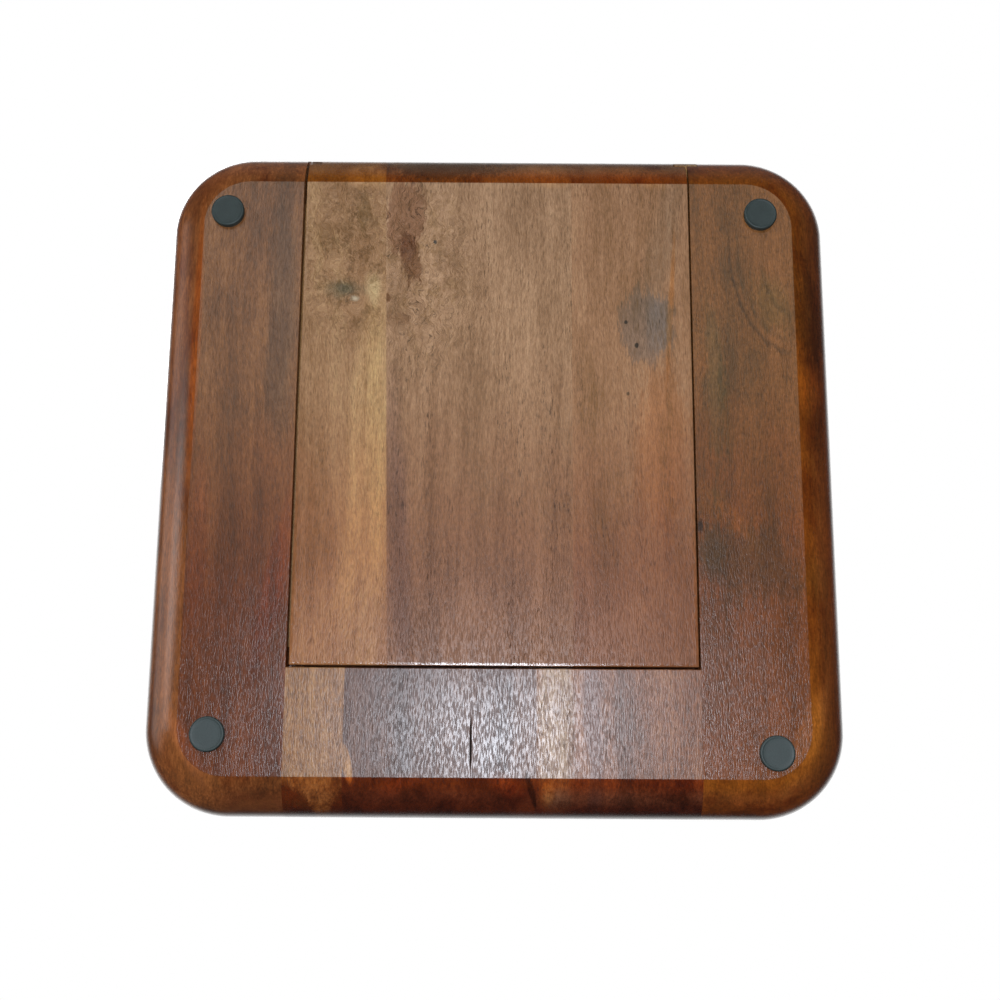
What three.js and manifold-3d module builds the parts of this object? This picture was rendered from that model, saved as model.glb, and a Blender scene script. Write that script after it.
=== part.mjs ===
// A square, round-cornered wooden gaming board that stands on four rubber feet.
//
// The body is glued up from staves: a full-height rail on the left and on the right, thin top
// staves between them over the drawer, and thick back staves behind the drawer. An eight by
// eight field of squares is let into the top. The drawer is a glued block with a routed pocket.
// Its underside and its front are flush with the body and share the body's round-over, and
// grooves in its sides run on two tongues (the runners) let into the rails.
//
// Millimetres, +Z up. The origin is the middle of the plane that the feet rest on, the drawer
// front faces -Y, and the drawer pulls out along -Y.

import * as THREE from "three";
import { mergeVertices } from "three/addons/utils/BufferGeometryUtils.js";
import Module from "manifold-3d";

const wasm = await Module();
wasm.setup();

// ---------------------------------------------------------------- driving dimensions

const BOARD_WIDTH = 305;
const BOARD_THICKNESS = 41;
const CORNER_RADIUS = 38;
// The round-over's width and height, and the angle of the crease where it meets a flat face.
const ROUND_OVER = 17;
const CREASE_ANGLE = 15;

const LEFT_RAIL_WIDTH = 62.5;
const RIGHT_RAIL_WIDTH = 63.75;
const BACK_STAVE_LENGTH = 63.25;
const TOP_STAVE_THICKNESS = 10;

const FOOT_DIAMETER = 15;
const FOOT_HEIGHT = 3;
const FOOT_CHAMFER = 0.6;

// Gaps around the closed drawer. It sits a little to the right in its slot.
const LEFT_CLEARANCE = 1.25;
const RIGHT_CLEARANCE = 0.75;
const BACK_CLEARANCE = 1;
const TOP_CLEARANCE = 0.5;

const FLANGE_HEIGHT = 6;
const GROOVE_HEIGHT = 6.5;
const GROOVE_DEPTH = 5.5;
const RUNNER_CLEARANCE = 0.5;
const RUNNER_EMBEDDED = 5;
const RUNNER_BACK_MARGIN = 9.25;
const LEFT_RUNNER_SETBACK = 25;

const DRAWER_WALL = 12.75;
const DRAWER_FRONT_WALL = 24;
const DRAWER_FLOOR = 8;
const POCKET_CORNER = 8;
const FINGER_NOTCH_RADIUS = 22;
const FINGER_NOTCH_DEPTH = 12;

const SQUARE = 30;
const SQUARES_PER_SIDE = 8;
const FIELD_THICKNESS = 5;
const STRINGING_WIDTH = 3;

// Glue seams, as X positions. The left seam of the drawer isn't quite parallel to its sides.
const BACK_SEAMS = [-64.5, 18];
const TOP_SEAMS = [-27, 38];
const DRAWER_LEFT_SEAM_FRONT = -52.5;
const DRAWER_LEFT_SEAM_BACK = -46.5;
const DRAWER_RIGHT_SEAM = 34;

// Foot centres on the underside: stuck on by hand, so not quite symmetric.
const FEET = [
  { name: "foot_front_left", x: -124.5, y: -120 },
  { name: "foot_front_right", x: 121, y: -120 },
  { name: "foot_back_left", x: -122, y: 118 },
  { name: "foot_back_right", x: 120, y: 124.5 },
];

const CORNER_SEGMENTS = 12;
const ROUND_OVER_SEGMENTS = 8;
const POCKET_CORNER_SEGMENTS = 6;
const FOOT_SEGMENTS = 36;
const NOTCH_SEGMENTS = 48;

// ---------------------------------------------------------------- derived positions

const HALF = BOARD_WIDTH / 2;
const UNDERSIDE = FOOT_HEIGHT;
const TOP = UNDERSIDE + BOARD_THICKNESS;
const SLOT_LEFT = -HALF + LEFT_RAIL_WIDTH;
const SLOT_RIGHT = HALF - RIGHT_RAIL_WIDTH;
const SLOT_BACK = HALF - BACK_STAVE_LENGTH;
const SLOT_TOP = TOP - TOP_STAVE_THICKNESS;

const DRAWER_LEFT = SLOT_LEFT + LEFT_CLEARANCE;
const DRAWER_RIGHT = SLOT_RIGHT - RIGHT_CLEARANCE;
const DRAWER_BACK = SLOT_BACK - BACK_CLEARANCE;
const DRAWER_TOP = SLOT_TOP - TOP_CLEARANCE;
const GROOVE_BOTTOM = UNDERSIDE + FLANGE_HEIGHT;
const GROOVE_TOP = GROOVE_BOTTOM + GROOVE_HEIGHT;

const RUNNER_BOTTOM = GROOVE_BOTTOM + RUNNER_CLEARANCE;
const RUNNER_TOP = GROOVE_TOP - RUNNER_CLEARANCE;
const RUNNER_BACK = SLOT_BACK - RUNNER_BACK_MARGIN;

const FIELD_HALF = (SQUARE * SQUARES_PER_SIDE) / 2;
const RECESS_HALF = FIELD_HALF + STRINGING_WIDTH;
const FIELD_BOTTOM = TOP - FIELD_THICKNESS;

// Cutting tools reach this far past the faces that they cut.
const OVERCUT = 5;

// ---------------------------------------------------------------- finishes

function finish(color, roughness) {
  return new THREE.MeshStandardMaterial({ color, roughness, metalness: 0 });
}

const RAIL_WOOD = finish("#7a4d33", 0.38);
const DARK_WOOD = finish("#6d4029", 0.36);
const BROWN_WOOD = finish("#80573a", 0.38);
const LIGHT_WOOD = finish("#a88254", 0.4);
const DRAWER_WOOD = finish("#8a6445", 0.42);
const RUNNER_WOOD = finish("#9c7a52", 0.6);
const FIELD_WOOD = finish("#a97b4c", 0.36);
const STRINGING_WOOD = finish("#3a2115", 0.36);
const FOOT_RUBBER = finish("#2f3635", 0.75);

// ---------------------------------------------------------------- solids and booleans

function toSolid(geometry) {
  const bare = geometry.clone();
  bare.deleteAttribute("normal");
  bare.deleteAttribute("uv");
  const merged = mergeVertices(bare, 1e-4);
  const mesh = new wasm.Mesh({
    numProp: 3,
    vertProperties: new Float32Array(merged.attributes.position.array),
    triVerts: new Uint32Array(merged.index.array),
  });
  return new wasm.Manifold(mesh);
}

function toGeometry(solid) {
  const mesh = solid.getMesh();
  const geometry = new THREE.BufferGeometry();
  geometry.setAttribute("position", new THREE.BufferAttribute(mesh.vertProperties, 3));
  geometry.setIndex(new THREE.BufferAttribute(mesh.triVerts, 1));
  geometry.computeVertexNormals();
  return geometry;
}

function boxGeometry([x0, x1], [y0, y1], [z0, z1]) {
  const geometry = new THREE.BoxGeometry(x1 - x0, y1 - y0, z1 - z0);
  return geometry.translate((x0 + x1) / 2, (y0 + y1) / 2, (z0 + z1) / 2);
}

function boxSolid(xRange, yRange, zRange) {
  return toSolid(boxGeometry(xRange, yRange, zRange));
}

function roundedRectangle([x0, x1], [y0, y1], radius) {
  const shape = new THREE.Shape();
  shape.absarc(x1 - radius, y0 + radius, radius, -Math.PI / 2, 0);
  shape.absarc(x1 - radius, y1 - radius, radius, 0, Math.PI / 2);
  shape.absarc(x0 + radius, y1 - radius, radius, Math.PI / 2, Math.PI);
  shape.absarc(x0 + radius, y0 + radius, radius, Math.PI, 1.5 * Math.PI);
  return shape;
}

// ---------------------------------------------------------------- the shaped blank

// How a round-over falls away from a flat face: steps in from the outer wall, each with its
// distance from the face. It leaves the face at CREASE_ANGLE and ends upright.
function roundOverSteps() {
  const slope = Math.tan(THREE.MathUtils.degToRad(CREASE_ANGLE));
  const startSine = slope / (1 - slope);
  const start = Math.asin(startSine);
  const steps = [];
  for (let i = 0; i <= ROUND_OVER_SEGMENTS; i += 1) {
    const turn = start + ((Math.PI / 2 - start) * i) / ROUND_OVER_SEGMENTS;
    steps.push({
      inset: (ROUND_OVER * (1 - Math.sin(turn))) / (1 - startSine),
      drop: ROUND_OVER * (1 - Math.cos(turn) / Math.cos(start)),
    });
  }
  return steps;
}

// The whole board as one rounded blank. Every outer piece is a slice of it.
function boardBlank() {
  const points = [];
  for (const { inset, drop } of roundOverSteps()) {
    const side = [-HALF + inset, HALF - inset];
    const outline = roundedRectangle(side, side, CORNER_RADIUS - inset);
    for (const { x, y } of outline.getPoints(CORNER_SEGMENTS)) {
      points.push([x, y, UNDERSIDE + drop], [x, y, TOP - drop]);
    }
  }
  return wasm.Manifold.hull(points);
}

const blank = boardBlank();

function sliceOfBlank(xRange, yRange, zRange) {
  return blank.intersect(boxSolid(xRange, yRange, zRange));
}

const FULL_DEPTH = [-HALF - OVERCUT, HALF + OVERCUT];
const FULL_HEIGHT = [UNDERSIDE - OVERCUT, TOP + OVERCUT];
const LEFT_RAIL_X = [-HALF - OVERCUT, SLOT_LEFT];
const RIGHT_RAIL_X = [SLOT_RIGHT, HALF + OVERCUT];

function fieldRecess() {
  const span = [-RECESS_HALF, RECESS_HALF];
  return boxSolid(span, span, [FIELD_BOTTOM, TOP + OVERCUT]);
}

// ---------------------------------------------------------------- body

const group = new THREE.Group();

function addMesh(name, geometry, material) {
  const mesh = new THREE.Mesh(geometry, material);
  mesh.name = name;
  group.add(mesh);
}

function addSolid(name, solid, material) {
  addMesh(name, toGeometry(solid), material);
}

const LEFT_RUNNER = [
  [SLOT_LEFT - RUNNER_EMBEDDED, DRAWER_LEFT + GROOVE_DEPTH - RUNNER_CLEARANCE],
  [-HALF + LEFT_RUNNER_SETBACK, RUNNER_BACK],
  [RUNNER_BOTTOM, RUNNER_TOP],
];
const RIGHT_RUNNER = [
  [DRAWER_RIGHT - GROOVE_DEPTH + RUNNER_CLEARANCE, SLOT_RIGHT + RUNNER_EMBEDDED],
  [FULL_DEPTH[0], RUNNER_BACK],
  [RUNNER_BOTTOM, RUNNER_TOP],
];

function rail(xRange, runnerRanges) {
  const block = sliceOfBlank(xRange, FULL_DEPTH, FULL_HEIGHT);
  return block.subtract(boxSolid(...runnerRanges)).subtract(fieldRecess());
}

addSolid("left_rail", rail(LEFT_RAIL_X, LEFT_RUNNER), RAIL_WOOD);
addSolid("right_rail", rail(RIGHT_RAIL_X, RIGHT_RUNNER), RAIL_WOOD);
addSolid("left_runner", sliceOfBlank(...LEFT_RUNNER), RUNNER_WOOD);
addSolid("right_runner", sliceOfBlank(...RIGHT_RUNNER), RUNNER_WOOD);

const STAVE_NAMES = ["left", "middle", "right"];

// Three glued staves between the rails, split at two seams.
function addStaves(prefix, seams, yRange, zRange, cut, materials) {
  const edges = [SLOT_LEFT, ...seams, SLOT_RIGHT];
  STAVE_NAMES.forEach((side, i) => {
    const block = sliceOfBlank([edges[i], edges[i + 1]], yRange, zRange);
    addSolid(`${prefix}_${side}`, cut ? block.subtract(cut) : block, materials[i]);
  });
}

addStaves(
  "top_stave", TOP_SEAMS, FULL_DEPTH, [SLOT_TOP, TOP + OVERCUT],
  fieldRecess(), [BROWN_WOOD, DARK_WOOD, BROWN_WOOD],
);
addStaves(
  "back_stave", BACK_SEAMS, [SLOT_BACK, HALF + OVERCUT], [UNDERSIDE - OVERCUT, SLOT_TOP],
  null, [LIGHT_WOOD, DARK_WOOD, BROWN_WOOD],
);

// ---------------------------------------------------------------- playing field

// Each rank is one strip of eight squares, glued up before it is let into the top.
function addField() {
  const zRange = [FIELD_BOTTOM, TOP];
  for (let rank = 0; rank < SQUARES_PER_SIDE; rank += 1) {
    const y = -FIELD_HALF + rank * SQUARE;
    const strip = boxGeometry([-FIELD_HALF, FIELD_HALF], [y, y + SQUARE], zRange);
    addMesh(`field_rank_${rank + 1}`, strip, FIELD_WOOD);
  }
  const long = [-RECESS_HALF, RECESS_HALF];
  const short = [-FIELD_HALF, FIELD_HALF];
  const low = [-RECESS_HALF, -FIELD_HALF];
  const high = [FIELD_HALF, RECESS_HALF];
  addMesh("stringing_front", boxGeometry(long, low, zRange), STRINGING_WOOD);
  addMesh("stringing_back", boxGeometry(long, high, zRange), STRINGING_WOOD);
  addMesh("stringing_left", boxGeometry(low, short, zRange), STRINGING_WOOD);
  addMesh("stringing_right", boxGeometry(high, short, zRange), STRINGING_WOOD);
}

addField();

// ---------------------------------------------------------------- drawer

function pocket() {
  const xRange = [DRAWER_LEFT + DRAWER_WALL, DRAWER_RIGHT - DRAWER_WALL];
  const yRange = [-HALF + DRAWER_FRONT_WALL, DRAWER_BACK - DRAWER_WALL];
  const floor = UNDERSIDE + DRAWER_FLOOR;
  const geometry = new THREE.ExtrudeGeometry(roundedRectangle(xRange, yRange, POCKET_CORNER), {
    depth: DRAWER_TOP + OVERCUT - floor,
    curveSegments: POCKET_CORNER_SEGMENTS,
    bevelEnabled: false,
  });
  return toSolid(geometry.translate(0, 0, floor));
}

function fingerNotch() {
  const length = DRAWER_FRONT_WALL + 2 * OVERCUT;
  const radius = FINGER_NOTCH_RADIUS;
  const geometry = new THREE.CylinderGeometry(radius, radius, length, NOTCH_SEGMENTS);
  const y = -HALF + DRAWER_FRONT_WALL / 2;
  return toSolid(geometry.translate(0, y, DRAWER_TOP - FINGER_NOTCH_DEPTH + radius));
}

function drawerBlock() {
  const yRange = [-HALF - OVERCUT, DRAWER_BACK];
  const zRange = [UNDERSIDE - OVERCUT, DRAWER_TOP];
  const block = sliceOfBlank([DRAWER_LEFT, DRAWER_RIGHT], yRange, zRange);
  const grooveZ = [GROOVE_BOTTOM, GROOVE_TOP];
  const leftGroove = boxSolid([SLOT_LEFT, DRAWER_LEFT + GROOVE_DEPTH], FULL_DEPTH, grooveZ);
  const rightGroove = boxSolid([DRAWER_RIGHT - GROOVE_DEPTH, SLOT_RIGHT], FULL_DEPTH, grooveZ);
  const grooved = block.subtract(leftGroove).subtract(rightGroove);
  return grooved.subtract(pocket()).subtract(fingerNotch());
}

// Everything to the left of the drawer's slanted left seam.
function leftOfSeam() {
  const slope = (DRAWER_LEFT_SEAM_BACK - DRAWER_LEFT_SEAM_FRONT) / (DRAWER_BACK + HALF);
  const seamX = (y) => DRAWER_LEFT_SEAM_FRONT + slope * (y + HALF);
  const shape = new THREE.Shape();
  shape.moveTo(-HALF, FULL_DEPTH[0]);
  shape.lineTo(seamX(FULL_DEPTH[0]), FULL_DEPTH[0]);
  shape.lineTo(seamX(FULL_DEPTH[1]), FULL_DEPTH[1]);
  shape.lineTo(-HALF, FULL_DEPTH[1]);
  const depth = FULL_HEIGHT[1] - FULL_HEIGHT[0];
  const geometry = new THREE.ExtrudeGeometry(shape, { depth, bevelEnabled: false });
  return toSolid(geometry.translate(0, 0, FULL_HEIGHT[0]));
}

function addDrawer() {
  const block = drawerBlock();
  const left = leftOfSeam();
  const right = boxSolid([DRAWER_RIGHT_SEAM, HALF], FULL_DEPTH, FULL_HEIGHT);
  addSolid("drawer_stave_left", block.intersect(left), LIGHT_WOOD);
  addSolid("drawer_stave_middle", block.subtract(left).subtract(right), DRAWER_WOOD);
  addSolid("drawer_stave_right", block.intersect(right), DRAWER_WOOD);
}

addDrawer();

// ---------------------------------------------------------------- feet

function footGeometry() {
  const radius = FOOT_DIAMETER / 2;
  const profile = [
    new THREE.Vector2(0, 0),
    new THREE.Vector2(radius - FOOT_CHAMFER, 0),
    new THREE.Vector2(radius, FOOT_CHAMFER),
    new THREE.Vector2(radius, FOOT_HEIGHT),
    new THREE.Vector2(0, FOOT_HEIGHT),
  ];
  return new THREE.LatheGeometry(profile, FOOT_SEGMENTS).rotateX(Math.PI / 2);
}

for (const { name, x, y } of FEET) {
  addMesh(name, footGeometry().translate(x, y, 0), FOOT_RUBBER);
}

export default group;
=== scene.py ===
"""Looks of a square wooden gaming board with a drawer in its underside.

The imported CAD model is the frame. Every node is replaced by a finer piece of the same shape,
with eased edges where the real board has them. Lengths are millimetres in the CAD's own frame
(feet on z = 0, drawer front at -Y) until a mesh is made. Lamps and camera are in metres.
"""

import math

import bmesh
import bpy
from mathutils import Matrix, Vector


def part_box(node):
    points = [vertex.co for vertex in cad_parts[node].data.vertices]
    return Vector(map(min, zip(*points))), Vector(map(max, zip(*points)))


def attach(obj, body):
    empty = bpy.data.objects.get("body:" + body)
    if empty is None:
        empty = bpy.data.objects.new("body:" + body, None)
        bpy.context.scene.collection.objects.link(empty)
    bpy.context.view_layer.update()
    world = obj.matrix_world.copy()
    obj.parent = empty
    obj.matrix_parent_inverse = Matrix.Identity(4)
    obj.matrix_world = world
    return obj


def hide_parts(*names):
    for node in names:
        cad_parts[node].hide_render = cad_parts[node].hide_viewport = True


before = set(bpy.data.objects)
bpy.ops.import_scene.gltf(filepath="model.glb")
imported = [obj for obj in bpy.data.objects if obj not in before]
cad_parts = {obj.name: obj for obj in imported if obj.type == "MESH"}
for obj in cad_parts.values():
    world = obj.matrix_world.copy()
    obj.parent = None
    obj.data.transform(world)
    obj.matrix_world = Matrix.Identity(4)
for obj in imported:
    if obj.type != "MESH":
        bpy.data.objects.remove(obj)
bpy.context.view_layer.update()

MM = 0.001


def cad_box(node):
    """Lowest and highest corner of a CAD node, in millimetres."""
    low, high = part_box(node)
    return [round(v / MM, 3) for v in low], [round(v / MM, 3) for v in high]


# ------------------------------------------------------------------ positions from the CAD

RAIL_LOW, LEFT_RAIL_HIGH = cad_box("left_rail")
RIGHT_RAIL_LOW, RAIL_HIGH = cad_box("right_rail")
BACK_LOW, BACK_HIGH = cad_box("back_stave_middle")
DRAWER_LOW = cad_box("drawer_stave_left")[0]
RIGHT_STAVE_LOW, DRAWER_HIGH = cad_box("drawer_stave_right")

HALF = RAIL_HIGH[0]
UNDERSIDE = RAIL_LOW[2]
TOP = RAIL_HIGH[2]
SLOT_LEFT = LEFT_RAIL_HIGH[0]
SLOT_RIGHT = RIGHT_RAIL_LOW[0]
SLOT_BACK = BACK_LOW[1]
SLOT_TOP = BACK_HIGH[2]
DRAWER_LEFT = DRAWER_LOW[0]
DRAWER_RIGHT = DRAWER_HIGH[0]
DRAWER_BACK = DRAWER_HIGH[1]
DRAWER_TOP = DRAWER_HIGH[2]
FIELD_BOTTOM = cad_box("stringing_left")[0][2]
RECESS_HALF = cad_box("stringing_front")[1][0]

# Shapes that a node's box doesn't give, as in the CAD source.
CORNER_RADIUS = 38
ROUND_OVER = 17
CREASE_ANGLE = math.radians(15)
DRAWER_LEFT_SEAM = (-52.5, -46.5)
DRAWER_RIGHT_SEAM = RIGHT_STAVE_LOW[0]
DRAWER_WALL = 12.75
DRAWER_FRONT_WALL = 24
DRAWER_FLOOR = 8
POCKET_CORNER = 8
POCKET_COVE = 3
GROOVE_DEPTH = 5.5
GROOVE_Z = (9, 15.5)
NOTCH_RADIUS = 22
NOTCH_DEPTH = 12
SQUARE = 30
RANKS = 8

# Finish of the edges: what the real board has and the CAD leaves sharp.
EASED = 0.4
RUNNER_EASED = 0.25
JOINT_BEVEL = 0.12
# Above its runner the left rail comes this close to the drawer, so the joint is dark there.
LIP_CLEARANCE = 0.2
LIP_OVERLAP = 1
# The eased corners of the slot's mouth are all below this height.
MOUTH_TOP = 8
# A runner that starts nearer the front wall than this runs out through the wall.
RUNNER_SETBACK_LIMIT = 5

CORNER_SEGMENTS = 28
ROUND_OVER_SEGMENTS = 16
POCKET_CORNER_SEGMENTS = 10
NOTCH_SEGMENTS = 96
FOOT_SEGMENTS = 72
OVERCUT = 6
FAR = HALF + OVERCUT
BELOW = UNDERSIDE - 1
ABOVE = TOP + 1

# Folds, in degrees, above which an edge is eased, or drawn as a crease. The flat faces meet
# the round-over at a low angle, so their rims have a limit of their own.
EASED_FOLD = 30
CREASE_FOLD = 34
RIM_CREASE_FOLD = 10
TOLERANCE = 0.02


# ------------------------------------------------------------------ meshes


def new_object(name, bm):
    """An object from a bmesh in millimetres."""
    bmesh.ops.scale(bm, vec=(MM, MM, MM), verts=bm.verts)
    mesh = bpy.data.meshes.new(name)
    bm.to_mesh(mesh)
    bm.free()
    obj = bpy.data.objects.new(name, mesh)
    bpy.context.scene.collection.objects.link(obj)
    return obj


def bridge(bm, lower, upper):
    """Quads between two closed rings of vertices."""
    count = len(lower)
    for i in range(count):
        j = (i + 1) % count
        bm.faces.new((lower[i], lower[j], upper[j], upper[i]))


def rounded_rectangle(x_range, y_range, radius, segments):
    """Points anticlockwise round a rectangle, from the right end of its front side."""
    centres = (
        (x_range[1] - radius, y_range[0] + radius, -90),
        (x_range[1] - radius, y_range[1] - radius, 0),
        (x_range[0] + radius, y_range[1] - radius, 90),
        (x_range[0] + radius, y_range[0] + radius, 180),
    )
    points = []
    for cx, cy, start in centres:
        for i in range(segments + 1):
            turn = math.radians(start + 90 * i / segments)
            points.append((cx + radius * math.cos(turn), cy + radius * math.sin(turn)))
    return points


def prism(outline, z_range):
    """A closed prism on an anticlockwise outline."""
    bm = bmesh.new()
    rings = [[bm.verts.new((x, y, z)) for x, y in outline] for z in z_range]
    bridge(bm, *rings)
    bm.faces.new(list(reversed(rings[0])))
    bm.faces.new(rings[1])
    return bm


def box_bm(x, y, z):
    """A closed box on three ranges."""
    return prism([(x[0], y[0]), (x[1], y[0]), (x[1], y[1]), (x[0], y[1])], z)


def round_over_steps():
    """(distance in from the outer wall, distance from the face), from the crease to the wall."""
    slope = math.tan(CREASE_ANGLE)
    start_sine = slope / (1 - slope)
    start = math.asin(start_sine)
    steps = []
    for i in range(ROUND_OVER_SEGMENTS + 1):
        turn = start + (math.pi / 2 - start) * i / ROUND_OVER_SEGMENTS
        inset = ROUND_OVER * (1 - math.sin(turn)) / (1 - start_sine)
        drop = ROUND_OVER * (1 - math.cos(turn) / math.cos(start))
        steps.append((inset, drop))
    return steps


def blank_bm():
    """The whole board as one rounded blank, which every outer piece is a slice of."""
    bm = bmesh.new()
    steps = round_over_steps()
    levels = [(inset, UNDERSIDE + drop) for inset, drop in steps]
    levels += [(inset, TOP - drop) for inset, drop in reversed(steps)]
    rings = []
    for inset, z in levels:
        side = (-HALF + inset, HALF - inset)
        outline = rounded_rectangle(side, side, CORNER_RADIUS - inset, CORNER_SEGMENTS)
        rings.append([bm.verts.new((px, py, z)) for px, py in outline])
    for lower, upper in zip(rings, rings[1:]):
        bridge(bm, lower, upper)
    bm.faces.new(list(reversed(rings[0])))
    bm.faces.new(rings[-1])
    return bm


def combine(obj, cutter, operation):
    """Applies an exact boolean and drops the cutter."""
    modifier = obj.modifiers.new("cut", "BOOLEAN")
    modifier.operation = operation
    modifier.solver = "EXACT"
    modifier.object = cutter
    graph = bpy.context.evaluated_depsgraph_get()
    mesh = bpy.data.meshes.new_from_object(obj.evaluated_get(graph))
    old = obj.data
    obj.modifiers.clear()
    obj.data = mesh
    bpy.data.meshes.remove(old)
    bpy.data.objects.remove(cutter)
    return obj


def cut(obj, bm):
    """Takes a bmesh's shape out of an object."""
    return combine(obj, new_object("cutter", bm), "DIFFERENCE")


def slice_of_blank(name, x, y, z):
    """The part of the rounded blank that lies inside three ranges."""
    blank = new_object(name, blank_bm())
    return combine(blank, new_object("cutter", box_bm(x, y, z)), "INTERSECT")


def edit(obj, change):
    """Runs change(bm) on the object's mesh, in millimetres."""
    bm = bmesh.new()
    bm.from_mesh(obj.data)
    bmesh.ops.scale(bm, vec=(1 / MM,) * 3, verts=bm.verts)
    bmesh.ops.remove_doubles(bm, verts=bm.verts, dist=1e-3)
    change(bm)
    bmesh.ops.scale(bm, vec=(MM,) * 3, verts=bm.verts)
    bm.to_mesh(obj.data)
    bm.free()


def near(value, target):
    return abs(value - target) < TOLERANCE


def fold(edge):
    """The angle between an edge's two faces, in degrees."""
    if len(edge.link_faces) != 2:
        return 0
    return math.degrees(edge.calc_face_angle(0))


def ease(bm, chosen, width, segments=3):
    """Rounds off the sharp edges whose two ends satisfy chosen(a, b)."""
    sharp = [e for e in bm.edges if fold(e) > EASED_FOLD]
    edges = [e for e in sharp if chosen(e.verts[0].co, e.verts[1].co)]
    bmesh.ops.bevel(
        bm, geom=edges, offset=width, segments=segments, profile=0.5, affect="EDGES",
        clamp_overlap=True,
    )


def shade(obj, crease=True):
    """Smooth surfaces with true creases: sharp folds, and the rim of each flat face."""
    bm = bmesh.new()
    bm.from_mesh(obj.data)
    bmesh.ops.recalc_face_normals(bm, faces=bm.faces)
    for face in bm.faces:
        face.smooth = True
    for edge in bm.edges:
        heights = [v.co.z / MM for v in edge.verts]
        on_rim = all(near(z, UNDERSIDE) for z in heights) or all(near(z, TOP) for z in heights)
        edge.smooth = fold(edge) < (RIM_CREASE_FOLD if crease and on_rim else CREASE_FOLD)
    bm.to_mesh(obj.data)
    bm.free()
    return obj


# ------------------------------------------------------------------ pieces of the body


def field_recess():
    """The shallow square recess in the top that holds the playing field."""
    span = (-RECESS_HALF, RECESS_HALF)
    return box_bm(span, span, (FIELD_BOTTOM, TOP + OVERCUT))


def runner_ranges(node):
    """A runner's three ranges, past the front wall where it runs out to it."""
    low, high = cad_box(node)
    y_start = low[1] if low[1] > -HALF + RUNNER_SETBACK_LIMIT else -FAR
    return (low[0], high[0]), (y_start, high[1]), (low[2], high[2])


def make_rail(node, x_range, runner, slot_x, lip=None):
    """A rail with a housing for its runner, and with a lip over it on the range lip in X."""
    rail = slice_of_blank(node + "_wood", x_range, (-FAR, FAR), (BELOW, ABOVE))
    cut(rail, box_bm(*runner_ranges(runner)))
    cut(rail, field_recess())
    if lip:
        runner_top = cad_box(runner)[1][2]
        strip = slice_of_blank("cutter", lip, (-FAR, SLOT_BACK), (runner_top, SLOT_TOP))
        combine(rail, strip, "UNION")

    def mouth(a, b):
        """The slot's lower edge along this rail."""
        in_front = max(a.y, b.y) < SLOT_BACK + TOLERANCE
        low = max(a.z, b.z) < MOUTH_TOP
        return near(a.x, slot_x) and near(b.x, slot_x) and low and in_front

    def change(bm):
        bmesh.ops.bisect_plane(
            bm, geom=bm.verts[:] + bm.edges[:] + bm.faces[:],
            plane_co=(0, SLOT_BACK, 0), plane_no=(0, 1, 0),
        )
        ease(bm, mouth, EASED)

    edit(rail, change)
    return shade(rail)


def make_runner(node):
    runner = slice_of_blank(node + "_wood", *runner_ranges(node))
    edit(runner, lambda bm: ease(bm, lambda a, b: True, RUNNER_EASED, 2))
    return shade(runner, crease=False)


def make_back_stave(node):
    low, high = cad_box(node)
    z_range = (BELOW, SLOT_TOP)
    stave = slice_of_blank(node + "_wood", (low[0], high[0]), (SLOT_BACK, FAR), z_range)

    def mouth(a, b):
        """The slot's lower edge along its back."""
        at_slot = near(a.y, SLOT_BACK) and near(b.y, SLOT_BACK)
        return at_slot and near(a.z, UNDERSIDE) and near(b.z, UNDERSIDE)

    edit(stave, lambda bm: ease(bm, mouth, EASED))
    return shade(stave)


def make_top_stave(node):
    low, high = cad_box(node)
    stave = slice_of_blank(node + "_wood", (low[0], high[0]), (-FAR, FAR), (SLOT_TOP, ABOVE))
    cut(stave, field_recess())
    return shade(stave)


def add_bevelled_box(bm, x, y, z, bevel):
    """Adds a box with bevelled edges to a bmesh."""
    block = box_bm(x, y, z)
    bmesh.ops.bevel(
        block, geom=block.edges[:], offset=bevel, segments=2, profile=0.5, affect="EDGES",
    )
    mesh = bpy.data.meshes.new("block")
    block.to_mesh(mesh)
    block.free()
    bm.from_mesh(mesh)
    bpy.data.meshes.remove(mesh)


def make_rank(node, index):
    """Eight squares in a row, in the first and the second material by turns."""
    low, high = cad_box(node)
    bm = bmesh.new()
    count = round((high[0] - low[0]) / SQUARE)
    for file in range(count):
        x = low[0] + file * SQUARE
        before = len(bm.faces)
        add_bevelled_box(
            bm, (x, x + SQUARE), (low[1], high[1]), (low[2], high[2]), JOINT_BEVEL
        )
        bm.faces.ensure_lookup_table()
        for face in bm.faces[before:]:
            face.material_index = (file + index) % 2
    return new_object(node + "_squares", bm)


def make_stringing(node):
    low, high = cad_box(node)
    bm = bmesh.new()
    add_bevelled_box(bm, *[(low[i], high[i]) for i in range(3)], JOINT_BEVEL)
    return new_object(node + "_inlay", bm)


# ------------------------------------------------------------------ drawer


def pocket_bm():
    """The drawer's inside, open at the top."""
    x_range = (DRAWER_LEFT + DRAWER_WALL, DRAWER_RIGHT - DRAWER_WALL)
    y_range = (-HALF + DRAWER_FRONT_WALL, DRAWER_BACK - DRAWER_WALL)
    outline = rounded_rectangle(x_range, y_range, POCKET_CORNER, POCKET_CORNER_SEGMENTS)
    floor = UNDERSIDE + DRAWER_FLOOR
    return prism(outline, (floor, DRAWER_TOP + OVERCUT))


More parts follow.
